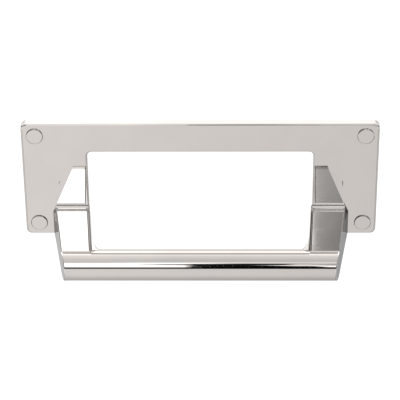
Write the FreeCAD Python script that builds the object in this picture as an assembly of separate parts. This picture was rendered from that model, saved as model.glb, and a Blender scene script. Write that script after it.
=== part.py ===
import FreeCAD, Part
import math
import os

from FreeCAD import Vector

# A fixed bar pull for a drawer or door: a flat backplate shaped like an upside-down U,
# a cast handle whose two arms stand on the legs of the plate and carry a round bar,
# and a rivet in each corner of the plate.
#
# X runs along the bar, Y points back into the drawer front and Z points up. The origin
# lies on the back of the plate, midway between the two screw holes. "forward" is measured
# out from the front face of the plate, and "height" up from its bottom edge.

# Screw holes, and the spigots that they lie in. Everything sideways is measured from them
screw_spacing = 96.0
screw_height = 12.0
screw_core_radius = 1.65
screw_hole_depth = 13.0
drill_point_angle = 118.0
spigot_radius = 4.0
spigot_clearance = 0.05
spigot_root = 6.0

# Backplate
side_from_screw = 18.7
plate_height = 48.3
plate_thickness = 3.4
plate_corner_radius = 2.2
plate_front_round = 0.7
notch_from_screw = 5.7
notch_web = 12.1
notch_corner_radius = 1.7
leg_corner_radius = 0.8

# Corner rivets
rivet_inset = 5.1
rivet_head_radius = 3.2
rivet_head_height = 0.5
rivet_head_chamfer = 0.25
rivet_shank_radius = 1.6
rivet_clearance = 0.05
rivet_tail_radius = 2.4
rivet_tail_depth = 1.0

# Round bar, and the hollow flares into it, which start a little inside the arms' sides
bar_radius = 6.0
bar_forward = 18.9
bar_height = -1.7
flare_reach = 3.3
flare_rise = 9.0
flare_sink = 0.8

# Arms: the block that stands on the plate and carries the bar
outer_from_screw = 8.1
outer_slope = 0.214
outer_round = 0.4
inner_from_screw = 6.75
inner_slope_forward = 0.05
inner_slope_up = 0.03
inner_round = 1.2
foot_height = 10.2
foot_round = 1.5
panel_angle = 55.0
crease_round = 0.5

# Ledge on top of the block, with a rounded upright nose and a hollow below that
ledge_height = 18.55
ledge_angle = 20.0
nose_height = 1.25
nose_round = 0.8
nose_hollow = 0.6
nose_inner_round = 1.5
nose_outer_round = 0.9

# Rib: the upper part of each arm, narrower than the block below it. Its front lies a little
# behind the plane of the block's, and a hollow leads from it into the ledge
rib_setback = 0.29
root_depth = 0.55
root_width = 4.95
root_inner_step = 1.55
rib_inner_step = 1.4
rib_outer_step = 2.2
rib_round = 0.5
rib_hollow = 1.8

# Slack that tells a point or an edge on a face from one off it
near = 0.001
# Overshoot of a cutting tool past the face that it opens
past = 1.0

plate_side = screw_spacing / 2 + side_from_screw
notch_side = screw_spacing / 2 - notch_from_screw
outer_foot = screw_spacing / 2 + outer_from_screw
inner_foot = screw_spacing / 2 - inner_from_screw
plate_bottom = -screw_height
plate_front = -plate_thickness
panel_slope = math.radians(panel_angle)
panel_fall = math.tan(panel_slope)
ledge_slope = math.radians(ledge_angle)
ledge_fall = math.tan(ledge_slope)
bar_top = bar_height + bar_radius
rib_top = bar_top + bar_forward * panel_fall - rib_setback / math.cos(panel_slope)
root_height = rib_top - root_depth * panel_fall
ledge_back = (rib_top - ledge_height) / panel_fall
nose_rise = bar_top + bar_forward * panel_fall + nose_height - ledge_height
nose_forward = (nose_rise - ledge_back * ledge_fall) / (panel_fall - ledge_fall)
nose_top = ledge_height - (nose_forward - ledge_back) * ledge_fall
nose_foot = nose_top - nose_height
hollow_top = nose_foot + nose_hollow * math.tan(math.radians(90 - panel_angle) / 2)
rib_foot_run = rib_hollow * math.tan((panel_slope - ledge_slope) / 2)
rib_foot_forward = ledge_back + rib_foot_run * math.cos(ledge_slope)
rib_foot_height = ledge_height - rib_foot_run * math.sin(ledge_slope)


def place(x, forward, height):
    """Point in the frame of the part."""
    return Vector(x, plate_front - forward, plate_bottom + height)


def flat_face(points):
    return Part.Face(Part.makePolygon(points + [points[0]]))


def rounded_edges(corners):
    """Closed ring of straight runs, with an arc of the given radius at each corner."""
    starts = []
    middles = []
    ends = []
    count = len(corners)
    for index in range(count):
        corner, radius = corners[index]
        before = (corners[index - 1][0] - corner).normalize()
        after = (corners[(index + 1) % count][0] - corner).normalize()
        half = before.getAngle(after) / 2
        reach = radius / math.tan(half)
        bisector = (before + after).normalize()
        centre = corner + bisector * (radius / math.sin(half))
        starts.append(corner + before * reach)
        middles.append(centre - bisector * radius)
        ends.append(corner + after * reach)
    edges = []
    for index in range(count):
        if corners[index][1] > 0:
            edges.append(Part.Arc(starts[index], middles[index], ends[index]).toShape())
        next_start = starts[(index + 1) % count]
        if ends[index].distanceToPoint(next_start) > near:
            edges.append(Part.makeLine(ends[index], next_start))
    return edges


def rounded_outline(corners):
    return Part.Wire(rounded_edges(corners))


def beyond(point, normal):
    """Block of space on the side of a plane that its normal points to."""
    reach = 2 * plate_side
    out = Vector(normal).normalize()
    along = out.cross(Vector(0, 0, 1)).normalize() * reach
    across = out.cross(along)
    corners = [
        point - along - across,
        point + along - across,
        point + along + across,
        point - along + across,
    ]
    return flat_face(corners).extrude(out * reach)


def mirrored(shape):
    return shape.mirror(Vector(0, 0, 0), Vector(1, 0, 0))


def make_backplate():
    half = plate_side
    leg = notch_side
    top = plate_height
    corners = [
        (place(-half, 0, 0), plate_corner_radius),
        (place(-half, 0, top), plate_corner_radius),
        (place(half, 0, top), plate_corner_radius),
        (place(half, 0, 0), plate_corner_radius),
        (place(leg, 0, 0), leg_corner_radius),
        (place(leg, 0, top - notch_web), notch_corner_radius),
        (place(-leg, 0, top - notch_web), notch_corner_radius),
        (place(-leg, 0, 0), leg_corner_radius),
    ]
    outline = rounded_outline(corners)
    plate = Part.Face(outline).extrude(Vector(0, plate_thickness, 0))
    front_edges = [edge for edge in plate.Edges if on_plate_front(edge)]
    plate = plate.makeFillet(plate_front_round, front_edges)
    for x in (-screw_spacing / 2, screw_spacing / 2):
        start = place(x, 0, screw_height)
        hole = Part.makeCylinder(
            spigot_radius + spigot_clearance, plate_thickness, start, Vector(0, 1, 0)
        )
        plate = plate.cut(hole)
    for x, height in rivet_places():
        plate = plate.cut(rivet_hole(x, height))
    return plate


def on_plate_front(edge):
    return all(abs(vertex.Point.y - plate_front) < near for vertex in edge.Vertexes)


def rivet_places():
    reach = plate_side - rivet_inset
    heights = (rivet_inset, plate_height - rivet_inset)
    return [(x, height) for x in (-reach, reach) for height in heights]


def revolved(profile, x, height):
    """Solid of revolution about a line along Y, from (y, radius) pairs."""
    centre = place(x, 0, height)
    points = [Vector(x + radius, y, centre.z) for y, radius in profile]
    axis_point = Vector(x, 0, centre.z)
    return flat_face(points).revolve(axis_point, Vector(0, 1, 0), 360)


def rivet_hole(x, height):
    shank = rivet_shank_radius + rivet_clearance
    tail = rivet_tail_radius + rivet_clearance
    profile = [
        (plate_front - past, 0),
        (plate_front - past, shank),
        (-rivet_tail_depth, shank),
        (0, tail),
        (past, tail),
        (past, 0),
    ]
    return revolved(profile, x, height)


def make_rivet(x, height):
    top = plate_front - rivet_head_height
    profile = [
        (top, 0),
        (top, rivet_head_radius - rivet_head_chamfer),
        (top + rivet_head_chamfer, rivet_head_radius),
        (plate_front, rivet_head_radius),
        (plate_front, rivet_shank_radius),
        (-rivet_tail_depth, rivet_shank_radius),
        (0, rivet_tail_radius),
        (0, 0),
    ]
    return revolved(profile, x, height)


def make_corner_rivets():
    return Part.makeCompound([make_rivet(x, height) for x, height in rivet_places()])


def bar_axis(x):
    return place(x, bar_forward, bar_height)


def underside_contact():
    """(forward, height) where the straight underside of an arm meets the round bar."""
    reach = math.hypot(bar_forward, bar_height)
    fall = math.asin(bar_radius / reach) - math.atan2(bar_height, bar_forward)
    run = math.sqrt(reach ** 2 - bar_radius ** 2)
    return run * math.cos(fall), -run * math.sin(fall)


def crease():
    """Corner and end of the hollow arc that leads from the panel into the bar."""
    out = Vector(math.sin(panel_slope), math.cos(panel_slope), 0)
    down = Vector(math.cos(panel_slope), -math.sin(panel_slope), 0)
    axis = Vector(bar_forward, bar_height, 0)
    panel = bar_radius * math.cos(panel_slope)
    reach = math.sqrt((bar_radius + crease_round) ** 2 - (panel + crease_round) ** 2)
    centre = axis + out * (panel + crease_round) - down * reach
    on_panel = axis + out * panel - down * reach
    on_bar = axis + (centre - axis).normalize() * bar_radius
    middle = ((on_panel - centre) + (on_bar - centre)).normalize()
    half = middle.getAngle(on_panel - centre)
    corner = centre + middle * (crease_round / math.cos(half))
    return corner, on_bar


def side_outline(x):
    """Side view of an arm's block at one X, from the plate to the front of the bar."""
    contact_forward, contact_height = underside_contact()
    contact = place(x, contact_forward, contact_height)
    corner, on_bar = crease()
    panel_end = place(x, on_bar.x, on_bar.y)
    corners = [
        (contact, 0),
        (place(x, 0, 0), 0),
        (place(x, 0, foot_height), 0),
        (place(x, ledge_back, foot_height), foot_round),
        (place(x, ledge_back, hollow_top), 0),
        (place(x, nose_forward, hollow_top), 0),
        (place(x, nose_forward, nose_foot), nose_hollow),
        (place(x, corner.x, corner.y), crease_round),
        (panel_end, 0),
    ]
    edges = rounded_edges(corners)
    front = bar_axis(x) + Vector(0, -bar_radius, 0)
    edges[-1] = Part.Arc(panel_end, front, contact).toShape()
    return Part.Wire(edges)


def outer_plane():
    return place(outer_foot, 0, 0), Vector(1, -outer_slope, 0)


def inner_plane():
    return place(inner_foot, 0, 0), Vector(-1, inner_slope_forward, inner_slope_up)


def between_sides(shape):
    return shape.cut([beyond(*outer_plane()), beyond(*inner_plane())])


def nose_plane():
    return place(0, nose_forward, 0), Vector(0, -1, 0)


def ledge_plane():
    return place(0, ledge_back, ledge_height), Vector(0, -math.sin(ledge_slope), math.cos(ledge_slope))


def is_on(vertex, plane):
    point, normal = plane
    return abs((vertex.Point - point).dot(normal) / normal.Length) < near


def lies_on(edge, plane):
    return all(is_on(vertex, plane) for vertex in edge.Vertexes)


def touches(edge, plane):
    return any(is_on(vertex, plane) for vertex in edge.Vertexes)


def on_front(edge):
    """Edges between the hollow under the nose and the one above the bar."""
    box = edge.BoundBox
    beyond_ledge = box.YMax < place(0, ledge_back, 0).y - near
    return beyond_ledge and box.ZMin > bar_axis(0).z + near


def from_side_to_side(outline):
    start = inner_foot - flare_reach
    return Part.Face(outline(start)).extrude(Vector(outer_foot - start, 0, 0))


def make_block():
    """Lower part of an arm, from the plate to the bar, with the edges of its panel rounded."""
    block = between_sides(from_side_to_side(side_outline))
    inner = [edge for edge in block.Edges if lies_on(edge, inner_plane()) and on_front(edge)]
    block = block.makeFillet(inner_round, inner)
    outer = [edge for edge in block.Edges if lies_on(edge, outer_plane()) and on_front(edge)]
    return block.makeFillet(outer_round, outer)


def ledge_outline(x):
    corners = [
        (place(x, ledge_back, ledge_height), 0),
        (place(x, nose_forward, nose_top), 0),
        (place(x, nose_forward, hollow_top), 0),
        (place(x, ledge_back, hollow_top), 0),
    ]
    return rounded_outline(corners)


def make_ledge():
    """Slab on top of the block, with a rounded nose that turns in round corners at its ends."""
    slab = between_sides(from_side_to_side(ledge_outline))
    ends = [edge for edge in slab.Edges if lies_on(edge, nose_plane())]
    inner = [edge for edge in ends if lies_on(edge, inner_plane())]
    slab = slab.makeFillet(nose_inner_round, inner)
    ends = [edge for edge in slab.Edges if lies_on(edge, nose_plane())]
    outer = [edge for edge in ends if lies_on(edge, outer_plane())]
    slab = slab.makeFillet(nose_outer_round, outer)
    top = [edge for edge in slab.Edges if lies_on(edge, ledge_plane()) and touches(edge, nose_plane())]
    return slab.makeFillet(nose_round, top)


def rib_outline(x):
    """Side view of a rib, whose front runs out in a hollow on top of the ledge."""
    corners = [
        (place(x, 0, foot_height), 0),
        (place(x, 0, root_height), 0),
        (place(x, root_depth, root_height), 0),
        (place(x, ledge_back, ledge_height), rib_hollow),
        (place(x, rib_foot_forward, rib_foot_height), 0),
        (place(x, rib_foot_forward, foot_height), 0),
    ]
    return rounded_outline(corners)


def on_rib_front(edge):
    lowest = plate_bottom + rib_foot_height
    furthest_back = place(0, root_depth, 0).y
    points = [vertex.Point for vertex in edge.Vertexes]
    return all(point.y < furthest_back + near and point.z > lowest - near for point in points)


def make_rib():
    """Upper part of an arm, which narrows upwards to its root on the plate."""
    inner = inner_foot + rib_inner_step
    outer = outer_foot - rib_outer_step
    root_inner = inner_foot + root_inner_step
    front = [
        place(inner, 0, foot_height),
        place(root_inner, 0, root_height),
        place(root_inner + root_width, 0, root_height),
        place(outer, 0, ledge_height),
        place(outer, 0, foot_height),
    ]
    prism = flat_face(front).extrude(Vector(0, -nose_forward, 0))
    rib = prism.common(from_side_to_side(rib_outline))
    inner_side = front[0], (front[1] - front[0]).cross(Vector(0, 1, 0))
    inner_edges = [edge for edge in rib.Edges if lies_on(edge, inner_side) and on_rib_front(edge)]
    return rib.makeFillet(rib_round, inner_edges)


def make_flare():
    """Hollow-sided collar that blends an arm's inner side into the bar."""
    side_at_bar = inner_foot - inner_slope_forward * bar_forward
    start = bar_axis(side_at_bar + flare_sink)
    top = start + Vector(0, 0, bar_radius + flare_rise)
    tip = start + Vector(-flare_reach, 0, bar_radius)
    curve = Part.Ellipse(tip, top, top + Vector(-flare_reach, 0, 0))
    inside = Vector(0, 0, bar_radius / 2)
    edges = [
        Part.ArcOfEllipse(curve, 0, math.pi / 2).toShape(),
        Part.makeLine(top, start + inside),
        Part.makeLine(start + inside, tip - inside),
        Part.makeLine(tip - inside, tip),
    ]
    ring = Part.Face(Part.Wire(edges)).revolve(start, Vector(1, 0, 0), 360)
    side = Part.Face(side_outline(tip.x)).extrude(Vector(2 * flare_reach, 0, 0))
    crest = place(0, bar_forward, bar_top)
    panel_out = Vector(0, -math.sin(panel_slope), math.cos(panel_slope))
    above = beyond(crest - panel_out * inner_round, panel_out)
    contact = place(0, *underside_contact())
    under_out = (contact - bar_axis(0)).normalize()
    below = beyond(contact - under_out * inner_round, under_out)
    return ring.common(side).cut([above, below])


def make_bar():
    """Round bar from arm to arm, whose ends lie inside the arms."""
    end = outer_foot - outer_slope * bar_forward - bar_radius / 2
    return Part.makeCylinder(bar_radius, 2 * end, bar_axis(-end), Vector(1, 0, 0))


def make_screw_hole():
    """Blind hole with a drilled point, opening at the back."""
    point_depth = screw_core_radius / math.tan(math.radians(drill_point_angle / 2))
    profile = [
        (past, 0),
        (past, screw_core_radius),
        (-screw_hole_depth, screw_core_radius),
        (-screw_hole_depth - point_depth, 0),
    ]
    return revolved(profile, screw_spacing / 2, screw_height)


def make_handle():
    spigot = Part.makeCylinder(
        spigot_radius,
        plate_thickness + spigot_root,
        Vector(screw_spacing / 2, 0, 0),
        Vector(0, -1, 0),
    )
    arm = make_block().fuse([make_ledge(), make_rib(), make_flare(), spigot])
    handle = arm.fuse([mirrored(arm), make_bar()]).removeSplitter()
    hole = make_screw_hole()
    return handle.cut([hole, mirrored(hole)])


os.makedirs("parts", exist_ok=True)
make_backplate().exportStep("parts/backplate.step")
make_corner_rivets().exportStep("parts/corner_rivets.step")
make_handle().exportStep("parts/handle.step")
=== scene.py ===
import math

import bpy
from mathutils import Matrix, Vector


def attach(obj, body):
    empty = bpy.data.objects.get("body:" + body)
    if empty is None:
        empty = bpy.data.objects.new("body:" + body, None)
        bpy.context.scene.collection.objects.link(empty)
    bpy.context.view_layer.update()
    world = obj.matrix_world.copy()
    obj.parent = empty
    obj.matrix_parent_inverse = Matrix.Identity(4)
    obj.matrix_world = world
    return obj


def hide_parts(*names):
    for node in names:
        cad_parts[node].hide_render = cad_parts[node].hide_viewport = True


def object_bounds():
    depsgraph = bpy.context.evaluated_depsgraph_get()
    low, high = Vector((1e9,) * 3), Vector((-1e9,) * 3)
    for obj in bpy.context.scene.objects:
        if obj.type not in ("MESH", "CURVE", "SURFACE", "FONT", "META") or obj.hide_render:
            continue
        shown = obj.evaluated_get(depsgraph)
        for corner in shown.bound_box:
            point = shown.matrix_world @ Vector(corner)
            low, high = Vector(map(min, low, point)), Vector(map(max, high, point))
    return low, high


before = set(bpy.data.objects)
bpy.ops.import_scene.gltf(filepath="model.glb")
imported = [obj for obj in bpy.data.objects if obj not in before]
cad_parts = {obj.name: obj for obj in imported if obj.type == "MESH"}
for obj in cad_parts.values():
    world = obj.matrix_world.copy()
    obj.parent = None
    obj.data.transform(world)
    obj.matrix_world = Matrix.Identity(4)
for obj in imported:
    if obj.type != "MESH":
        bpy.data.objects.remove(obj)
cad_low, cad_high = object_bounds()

# The backplate: a flat bar of metal 3.4 mm thick, cut to an upside-down U with rounded corners
# and a rounded front rim. It is ground flat, plated with nickel and buffed to a mirror, which
# leaves the face very slightly wavy and draws hair-fine lines along it.


class Value:
    """One output of a shader node, for use in Python arithmetic."""

    def __init__(self, tree, socket=None):
        self.tree = tree
        self.socket = socket

    def node(self, kind, settings=None, output=0, **inputs):
        """New node of any type: its settings first, then its inputs by name or number."""
        new = self.tree.nodes.new(kind)
        for name, setting in (settings or {}).items():
            setattr(new, name, setting)
        for name, given in inputs.items():
            key = int(name[1:]) if name[0] == "_" and name[1:].isdigit() else name.replace("_", " ")
            if isinstance(given, Value):
                self.tree.links.new(given.socket, new.inputs[key])
            else:
                new.inputs[key].default_value = given
        return Value(self.tree, new.outputs[output])

    def math(self, operation, *others):
        """One step of arithmetic on this and the other terms."""
        terms = {f"_{place}": term for place, term in enumerate((self,) + others)}
        return self.node("ShaderNodeMath", {"operation": operation}, **terms)

    def __add__(self, other):
        return self.math("ADD", other)

    def __sub__(self, other):
        return self.math("SUBTRACT", other)

    def __rsub__(self, other):
        return self.math("MULTIPLY_ADD", -1.0, other)

    def __mul__(self, other):
        return self.math("MULTIPLY", other)

    def __truediv__(self, other):
        return self.math("DIVIDE", other)

    __radd__ = __add__
    __rmul__ = __mul__

    def parts(self):
        """The x, y and z of a position or a direction."""
        split = self.node("ShaderNodeSeparateXYZ", Vector=self).socket.node
        return [Value(self.tree, part) for part in split.outputs]

    def distance(self, other):
        """Distance from a line, from two offsets at right angles to each other."""
        return (self * self + other * other).math("SQRT")

    def step(self, low, high):
        """0 below low and 1 above high, smooth between them."""
        settings = {"interpolation_type": "SMOOTHSTEP"}
        return self.node("ShaderNodeMapRange", settings, Value=self, From_Min=low, From_Max=high)

    def band(self, low, high, soft):
        """1 between low and high and 0 outside them, with soft ends."""
        return self.step(low - soft, low + soft) * (1 - self.step(high - soft, high + soft))

    def noise(self, scale, stretch=(1.0, 1.0, 1.0), detail=2.0):
        """Smooth noise from 0 to 1 on a position, drawn out where stretch is small."""
        spread = self.node("ShaderNodeMapping", Vector=self, Scale=stretch)
        return self.node("ShaderNodeTexNoise", Vector=spread, Scale=scale, Detail=detail)

    def mix(self, first, second):
        """The first colour where this is 0 and the second where it is 1."""
        settings = {"data_type": "RGBA"}
        return self.node("ShaderNodeMix", settings, output=2, _0=self, _6=first, _7=second)


def surface_of(made):
    """The shader node that holds a material's colour, gloss and relief."""
    return next(node for node in made.node_tree.nodes if node.type == "BSDF_PRINCIPLED")


# colours and gloss of a mirror finish, with a shade that lies over the metal in faint clouds
nickel_tone = (0.565, 0.532, 0.509, 1.0)
nickel_shade = (0.553, 0.521, 0.501, 1.0)
cloud_scale = 90.0
cloud_edge = (0.35, 0.7)
polish = 0.028

# lines that the wheel leaves, and a haze of uneven polish
line_scale = 5200.0
line_edge = (0.45, 0.8)
line_rough = 0.020
line_height = 1.2e-8
haze_scale = 160.0
haze_edge = (0.5, 0.8)
haze_rough = 0.012

# long waves and short ripples of a face that was buffed by hand
wave_scale = 110.0
wave_height = 4.5e-6
ripple_scale = 420.0
ripple_height = 3.5e-7


def polished_nickel(name, buffed_along):
    """Mirror-polished nickel plate, buffed along one direction."""
    made = bpy.data.materials.new(name)
    made.use_nodes = True
    tree = made.node_tree
    shader = surface_of(made)
    shader.inputs["Metallic"].default_value = 1.0
    place = Value(tree).node("ShaderNodeTexCoord", output="Object")

    cloud = place.noise(cloud_scale, detail=3.0).step(*cloud_edge)
    tone = cloud.mix(nickel_tone, nickel_shade)
    tree.links.new(tone.socket, shader.inputs["Base Color"])

    lines = place.noise(line_scale, stretch=buffed_along)
    haze = place.noise(haze_scale, detail=4.0).step(*haze_edge)
    rough = polish + lines.step(*line_edge) * line_rough + haze * haze_rough
    tree.links.new(rough.socket, shader.inputs["Roughness"])

    waves = place.noise(wave_scale, detail=1.0) * wave_height
    ripples = place.noise(ripple_scale, detail=1.0) * ripple_height
    return made, place, waves + ripples + lines * line_height


def put_relief(made, relief):
    """Bump from a height in metres, on a finished nickel."""
    bump = relief.node("ShaderNodeBump", Strength=1.0, Distance=1.0, Height=relief)
    made.node_tree.links.new(bump.socket, surface_of(made).inputs["Normal"])


plate_buffed = (0.04, 1.0, 1.0)
plate_nickel, _, relief = polished_nickel("plate_nickel", plate_buffed)
put_relief(plate_nickel, relief)
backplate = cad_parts["backplate"]
backplate.data.materials.clear()
backplate.data.materials.append(plate_nickel)

# The four corner rivets: each is turned from rod, with a flat head whose rim is rounded and a
# shank that goes through the plate. The tail is spread into a countersink and ground flush with
# the back of the plate, so that the drawer front meets one flat face.
rivet_side = 0.0616
rivet_low = -0.0069
rivet_high = 0.0312
head_radius = 0.0032
head_front = -0.0039
plate_front = -0.0034
shank_radius = 0.0016
tail_radius = 0.0024
tail_start = -0.001
rim_round = 0.00032
flat_margin = 0.00006


def tone_where(made, share, other, rougher):
    """Another colour and a rougher face by a share from 0 to 1, on a finished nickel."""
    tree = made.node_tree
    shader = surface_of(made)
    usual = Value(tree, shader.inputs["Base Color"].links[0].from_socket)
    rough = Value(tree, shader.inputs["Roughness"].links[0].from_socket)
    tree.links.new(share.mix(usual, other).socket, shader.inputs["Base Color"])
    tree.links.new((rough + share * rougher).socket, shader.inputs["Roughness"])


# the wheel slips off the rounded rim, which stays rougher in places; the rim is also painted
# darker, as painted shade that draws its dark outline
# near-black colour for painted shade, on the rivet rims and in the handle's corners
nickel_painted_shade = (0.020, 0.020, 0.022, 1.0)
dull_rough = 0.12
rim_start = 0.00288
rim_blend = 0.0001
rim_painted_shade_and_dull = 0.12
rim_patch_painted_shade_and_dull = 0.55
rim_patch_scale = 330.0
rim_patch_edge = (0.38, 0.62)
rivet_buffed = (1.0, 1.0, 0.2)

rivet_nickel, place, relief = polished_nickel("rivet_nickel", rivet_buffed)
put_relief(rivet_nickel, relief)
along, _, upward = place.parts()
middle_height = (rivet_low + rivet_high) / 2
beside = along.math("ABSOLUTE") - rivet_side
over = (upward - middle_height).math("ABSOLUTE") - (rivet_high - middle_height)
on_rim = beside.distance(over).step(rim_start, rim_start + rim_blend)
patches = place.noise(rim_patch_scale, detail=1.0).step(*rim_patch_edge)
# the rim gets painted shade all round, more in patches, and a rougher face
tone_where(rivet_nickel, on_rim * (rim_painted_shade_and_dull + patches * rim_patch_painted_shade_and_dull), nickel_painted_shade, dull_rough)

# the upper left rivet, drawn out from its tail to its head
round_sides = 96
rim_steps = 7
smooth_angle = math.radians(35)
same_depth = 1e-6
side_corners = 4

bpy.ops.object.select_all(action="DESELECT")
bpy.ops.mesh.primitive_circle_add(
    vertices=round_sides,
    radius=tail_radius,
    fill_type="NGON",
    location=(-rivet_side, 0.0, rivet_high),
    rotation=(math.radians(90), 0.0, 0.0),
)
rivet = bpy.context.object
rivet.name = "rivet_upper_left"
bpy.ops.object.transform_apply(location=True, rotation=True, scale=True)
centre = Vector((-rivet_side, 0.0, rivet_high))
profile = [
    (tail_start, shank_radius),
    (plate_front, shank_radius),
    (plate_front, head_radius),
    (head_front, head_radius),
]
bpy.ops.object.mode_set(mode="EDIT")
bpy.ops.mesh.select_all(action="SELECT")
depth = 0.0
radius = tail_radius
for next_depth, next_radius in profile:
    bpy.ops.mesh.extrude_region_move(TRANSFORM_OT_translate={"value": (0.0, next_depth - depth, 0.0)})
    change = next_radius / radius
    bpy.ops.transform.resize(value=(change, 1.0, change), center_override=centre)
    depth = next_depth
    radius = next_radius
bpy.ops.mesh.region_to_loop()
bpy.ops.mesh.bevel(offset=rim_round, segments=rim_steps, profile=0.5, affect="EDGES")
bpy.ops.mesh.select_all(action="DESELECT")
bpy.ops.object.mode_set(mode="OBJECT")
for face in rivet.data.polygons:
    at_front = abs(face.center.y - head_front) < same_depth
    face.select = at_front and len(face.vertices) > side_corners
bpy.ops.object.mode_set(mode="EDIT")
bpy.ops.mesh.inset(thickness=flat_margin)
bpy.ops.mesh.select_all(action="SELECT")
bpy.ops.mesh.normals_make_consistent(inside=False)
bpy.ops.object.mode_set(mode="OBJECT")
bpy.ops.object.shade_smooth_by_angle(angle=smooth_angle)
rivet.data.materials.append(rivet_nickel)

# the other three are copies of it
moves = {
    "rivet_upper_right": (2 * rivet_side, 0.0, 0.0),
    "rivet_lower_left": (0.0, 0.0, rivet_low - rivet_high),
    "rivet_lower_right": (2 * rivet_side, 0.0, rivet_low - rivet_high),
}
rivets = [rivet]
for name, move in moves.items():
    bpy.ops.object.select_all(action="DESELECT")
    rivet.select_set(True)
    bpy.context.view_layer.objects.active = rivet
    bpy.ops.object.duplicate(linked=False)
    copy = bpy.context.object
    copy.name = name
    bpy.ops.transform.translate(value=move)
    bpy.ops.object.transform_apply(location=True, rotation=True, scale=True)
    rivets.append(copy)
for piece in rivets:
    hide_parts("corner_rivets")
    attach(piece, "root")

# The handle: two stepped arms and the round bar between them, one casting of brass or zinc that
# is fettled, plated and buffed as a whole. Its arms stand on the plate's legs, and an M4 thread
# is cut in the blind hole behind each one, for the screw that comes through the drawer front.
handle_buffed = (0.05, 1.0, 1.0)
screw_side = 0.048
bore_radius = 0.00175
bore_wall = 0.00005
bore_end = (-0.0132, -0.0128)
thread_pitch = 0.0007
thread_depth = 0.00012
full_turn = 2 * math.pi

handle_nickel, place, relief = polished_nickel("handle_nickel", handle_buffed)
along, inward, upward = place.parts()
outward = along.math("ABSOLUTE")
from_screw = outward - screw_side
turn = upward.math("ARCTAN2", from_screw) / full_turn
groove = ((inward / thread_pitch + turn) * full_turn).math("SINE") * 0.5
off_axis = from_screw.distance(upward)
in_bore = (1 - off_axis.step(bore_radius - bore_wall, bore_radius)) * inward.step(*bore_end)
put_relief(handle_nickel, relief + groove * in_bore * thread_depth)

# The buffing wheel doesn't reach into the inside corners, so they stay a little rougher; they are
# also painted dark there, as painted shade in the creases. The foot of the ledge's rise and the
# hollow under its nose are given by the depth and height of their line, their reach and their share
# of painted shade and roughness.
ledge_foot = (-0.01240, 0.00639, 0.00022, 0.66)
under_nose = (-0.01362, 0.00520, 0.00020, 0.52)
corner_blend = 0.00018
wander_scale = 900.0
wander_reach = 0.0003

painted_shade_and_dull = 0.0
wander = (place.noise(wander_scale, detail=1.0) - 0.5) * wander_reach
for line_depth, line_up, reach, share in (ledge_foot, under_nose):
    off_line = (inward - line_depth).distance(upward - line_up) + wander
    painted_shade_and_dull = painted_shade_and_dull + (1 - off_line.step(reach, reach + corner_blend)) * share

# painted shade close to the plate, also rougher: the outer side of each arm's block, and the root of
# its rib
at_plate = (-0.0056, -0.0042)
leg_outside = (0.0535, 0.0540)
leg_top = (0.0055, 0.0068)
leg_bottom = (-0.0125, -0.0120)
leg_front = (-0.0100, -0.0085)
rib_foot = (0.0171, 0.0176)
leg_side_shade_and_dull = 0.5
leg_join_shade_and_dull = 0.30
rib_join_shade_and_dull = 0.4

near_plate = inward.step(*at_plate)
beside_leg = outward.step(*leg_outside) * (1 - upward.step(*leg_top))
over_leg = beside_leg * upward.step(*leg_bottom) * inward.step(*leg_front)
rib_root = upward.step(*rib_foot)
painted_shade_and_dull = painted_shade_and_dull + near_plate * (beside_leg * leg_join_shade_and_dull + rib_root * rib_join_shade_and_dull)
painted_shade_and_dull = (painted_shade_and_dull + over_leg * leg_side_shade_and_dull).math("MINIMUM", 1.0)
# painted shade in the corners and near the plate, with a rougher face there
tone_where(handle_nickel, painted_shade_and_dull, nickel_painted_shade, dull_rough)

# the crease where each panel runs into the bar is painted near white, a painted highlight
nickel_painted_highlight = (0.960, 0.940, 0.920, 1.0)
crease_depth = -0.02325
crease_up = -0.0078
crease_edge = (0.0007, 0.00095)
panel_start = (0.0405, 0.0409)

off_crease = (inward - crease_depth).distance(upward - crease_up)
painted_highlight_crease = (1 - off_crease.step(*crease_edge)) * outward.step(*panel_start)
# painted highlight along the crease
tone_where(handle_nickel, painted_highlight_crease, nickel_painted_highlight, 0.0)
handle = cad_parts["handle"]
handle.data.materials.clear()
handle.data.materials.append(handle_nickel)

# The table: a plain white sheet, lit evenly from below, so that no shadow shows on it. The pull
# stands on it with the foot of its bar a hair above the sheet.
table_size = 6.0
table_gap = 0.0002
table_glow = 1.06
black = (0.0, 0.0, 0.0, 1.0)
white = (1.0, 1.0, 1.0, 1.0)

bpy.ops.object.select_all(action="DESELECT")
bpy.ops.mesh.primitive_plane_add(size=table_size, location=(0.0, 0.0, cad_low[2] - table_gap))
table = bpy.context.object
table.name = "light_table"
table.visible_glossy = False
sheet = bpy.data.materials.new("light_table")
sheet.use_nodes = True
shader = surface_of(sheet)
shader.inputs["Base Color"].default_value = black
shader.inputs["Emission Color"].default_value = white
shader.inputs["Emission Strength"].default_value = table_glow
table.data.materials.append(sheet)

# The studio: a tall soft box behind and above the pull, a strip box at the front left, dark
# cards in front and at both sides, and white card low down. A polished metal shows nothing of
# its own, so these are what draw its bands and edges.
scene = bpy.context.scene
scene.view_settings.view_transform = "Standard"
world = bpy.data.worlds.new("studio")
scene.world = world
world.use_nodes = True
tree = world.node_tree
background = next(node for node in tree.nodes if node.type == "BACKGROUND")
direction = Value(tree).node("ShaderNodeTexCoord", output="Generated")
side, depth, height = direction.parts()
across = side.math("ABSOLUTE")
forwards = depth * -1.0

# In degrees: rise goes from the front horizon up over the pull and down behind it, and is
# negative below, lift is the height above the horizon, and around is the turn off the front.
# side is negative to the left and across is the same to both sides, as shares of the direction.
# Three numbers are where a light or a card begins, where it ends and how soft its ends are, and
# two are where a change begins and where it is complete.
degrees = 180 / math.pi
rise = height.math("ARCTAN2", forwards) * degrees
around = across.math("ARCTAN2", forwards) * degrees
lift = height.math("ARCSINE") * degrees

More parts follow.
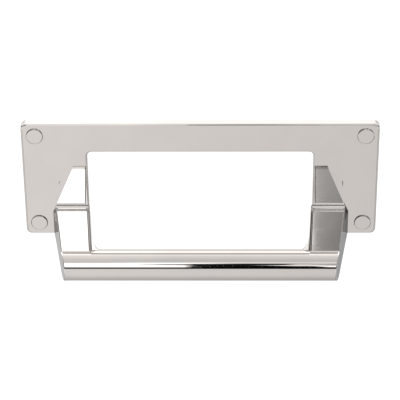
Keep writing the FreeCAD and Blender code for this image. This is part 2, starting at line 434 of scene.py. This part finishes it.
# overhead, the tall soft box behind and the dark wall below it: each change in brightness is
# given by the rise where it begins, the rise where it ends, and its amount
overhead_level = 0.91
overhead_changes = [(64, 100, 0.27), (98, 108, 0.14), (107, 115, 0.48), (150, 160, -0.75)]
ceiling_lamp_rise = (46.5, 54, 1.5)
ceiling_lamp_end = (-0.065, -0.04)
ceiling_lamp_level = 0.40
ceiling_left_end = (-0.05, -0.02)
ceiling_left_level = 0.10

high = overhead_level
for begins, ends, change in overhead_changes:
    high = high + rise.step(begins, ends) * change
high = high + rise.band(*ceiling_lamp_rise) * side.step(*ceiling_lamp_end) * ceiling_lamp_level
high = high + (1 - side.step(*ceiling_left_end)) * ceiling_left_level

# dark card across the front, from just left of the middle to the right
card_end = (-0.0235, -0.0195)
card_rise = (6, 42.9, 0.8)
card_dark = 0.99

right = side.step(*card_end)
high = high * (1 - rise.band(*card_rise) * right * card_dark)

# strip box at the front left, with a dark bar across it and a bright tail to the right
strip_end = (-0.12, -0.10)
strip_rise = (18.4, 47, 0.8)
strip_level = 1.4
bar_rise = (32.4, 38.8, 0.5)
bar_end = (-0.057, -0.029)
bar_dark = 2.3
tail_rise = (40.6, 47.8, 0.6)
tail_end = (-0.018, 0.008)
tail_level = 1.1

left = (1 - right) * side.step(*strip_end)
high = high + rise.band(*strip_rise) * left * strip_level
high = high - rise.band(*bar_rise) * left * side.step(*bar_end) * bar_dark
high = high + rise.band(*tail_rise) * right * (1 - side.step(*tail_end)) * tail_level

# narrow lit slot in the dark card, which bends down to the right
slot_start = (0.012, 0.020)
slot_level = 1.9
slot_soft = (-0.7, 0.7)
slot_foot = 30.8
foot_bend = (0.017, 0.034)
foot_bend_drop = 4.4
foot_end = (0.0425, 0.050)
foot_end_drop = 8.0
slot_crown = 32.2
crown_bend = (0.041, 0.050)
crown_drop = 2.0

foot = slot_foot - side.step(*foot_bend) * foot_bend_drop - side.step(*foot_end) * foot_end_drop
crown = slot_crown - side.step(*crown_bend) * crown_drop
slot = (rise - foot).step(*slot_soft) * (1 - (rise - crown).step(*slot_soft))
high = high + slot * side.step(*slot_start) * slot_level

# grey board at the far right above the slot, lighter at its foot and darker to the right
board_start = (0.0405, 0.0415)
board_rise = (33.0, 42.9, 0.6)
board_level = 0.50
board_top = (36.2, 38.6)
board_top_level = 0.14
board_right = (0.040, 0.058)
board_right_dark = 0.16
board_foot_rise = (33.0, 35.6, 0.6)
board_foot_level = 0.75

board = board_level + rise.step(*board_top) * board_top_level
board = board - side.step(*board_right) * board_right_dark
board = board * rise.band(*board_rise) + rise.band(*board_foot_rise) * board_foot_level
on_board = side.step(*board_start)
high = high + board * on_board

# a small bright lamp beside the board, and above it a weak light that runs on across the board
lamp_rise = (35.6, 39.3, 0.4)
lamp_start = (0.028, 0.034)
lamp_level = 1.8
weak_rise = (39.8, 42.9, 0.6)
weak_start = (0.020, 0.037)
weak_level = 0.5

high = high + rise.band(*lamp_rise) * side.step(*lamp_start) * (1 - on_board) * lamp_level
high = high + rise.band(*weak_rise) * side.step(*weak_start) * weak_level

# dark gap beyond the lights on each side, narrower on the right
gap_start = (0.105, 0.125)
gap_end = (0.30, 0.42)
gap_lean = 0.4
gap_rise = (10, 45, 2.0)
gap_dark = 0.97

gap = across.step(*gap_start) * (1 - (side * gap_lean + across).step(*gap_end))
high = high * (1 - gap * rise.band(*gap_rise) * gap_dark)

# low white card all round, lighter to the front, to the back and to the left
low_level = 0.60
low_front = (-105, -35)
low_front_level = 0.38
low_back = (-145, -118)
low_back_level = 0.4
low_middle_share = 1.11
low_lean = 0.85
low_lean_reach = 0.12

low = low_level + rise.step(*low_front) * low_front_level
low = low + (1 - rise.step(*low_back)) * low_back_level
lean = side.math("MAXIMUM", -low_lean_reach).math("MINIMUM", low_lean_reach) * low_lean
low = low * (low_middle_share - lean)

# grey cards on the low one, to both sides: first ahead of the pull and then behind it
ahead_edge = (-100, -80)
far_out = (0.55, 0.72)
near_horizon = (-10, -5)
ahead_start = (0.19, 0.25)
ahead_end = (0.33, 0.42)
ahead_dark = 0.58
ahead_end_light = 0.50
ahead_far_dark = 0.72
behind_start = (0.12, 0.20)
behind_end = (0.33, 0.40)
behind_dark = 0.54
behind_lean = 0.17
behind_far_dark = 0.8

ahead = rise.step(*ahead_edge)
far = across.step(*far_out) * lift.step(*near_horizon)
grey = ahead_dark - across.step(*ahead_end) * ahead_end_light + far * ahead_far_dark
grey = across.step(*ahead_start) * grey * ahead
narrow = across.step(*behind_start) * (1 - across.step(*behind_end))
grey_behind = narrow * (behind_dark + side * behind_lean) + far * behind_far_dark
grey = grey + grey_behind * (1 - ahead)

# low fill light to each side of the front
fill_lift = (-28, -4, 1.5)
fill_start = (15, 19)
fill_end = (40, 55)
fill_level = 1.56
fill_lean = 0.15

fill = lift.band(*fill_lift) * around.step(*fill_start) * (1 - around.step(*fill_end))
low = low * (1 - grey) * (1 - fill) + (fill_level - side * fill_lean) * fill

# where the low card ends and the lights above it begin, with a dark line over its front edge
above_lift = (2.5, 5.0)
line_lift = (5.5, 17.0, 1.0)
line_left_drop = 0.8
line_end = (50, 70)
line_dark = 0.88

above = lift.step(*above_lift)
line = (lift + (1 - right) * line_left_drop).band(*line_lift) * (1 - around.step(*line_end))
level = (low * (1 - above) + high * above) * (1 - line * line_dark)

# dark cards at both sides, the right one lighter
flank_around = (56, 104, 4.0)
flank_top = (26, 36)
flank_dark = 0.92
flank_right = (0.2, 0.5)
flank_right_light = 0.35

flank = around.band(*flank_around) * (1 - lift.step(*flank_top)) * above
level = level * (1 - flank * (flank_dark - side.step(*flank_right) * flank_right_light))

# a slightly blue cast on the low grey cards and the fill light
cool = (0.97, 1.0, 1.03, 1.0)
cast = (grey + fill).math("MINIMUM", 1.0) * (1 - above)
tree.links.new(cast.mix(white, cool).socket, background.inputs["Color"])

# the backdrop itself is plain white
backdrop_level = 1.0
seen = Value(tree).node("ShaderNodeLightPath", output="Is Camera Ray")
level = level * (1 - seen) + seen * backdrop_level
tree.links.new(level.socket, background.inputs["Strength"])

# The camera: a long lens about three quarters of a metre away. It looks down on the front of
# the pull from a little to its right and leans a trace to one side.
camera_distance = 0.7565
camera_elevation = 32.29
camera_azimuth = -0.996
camera_roll = -0.547
camera_target = Vector((-0.000205, -0.0034, 0.003155))
camera_lens = 179.68
sensor_width = 36.0
nearest_seen = 0.01

facing = (
    Matrix.Rotation(math.radians(-camera_azimuth), 4, "Z")
    @ Matrix.Rotation(math.radians(90 - camera_elevation), 4, "X")
    @ Matrix.Rotation(math.radians(camera_roll), 4, "Z")
)
backwards = Matrix.Translation((0, 0, camera_distance))
bpy.ops.object.camera_add()
camera = bpy.context.object
camera.matrix_world = Matrix.Translation(camera_target) @ facing @ backwards
camera.data.lens = camera_lens
camera.data.sensor_width = sensor_width
camera.data.clip_start = nearest_seen
scene.camera = camera
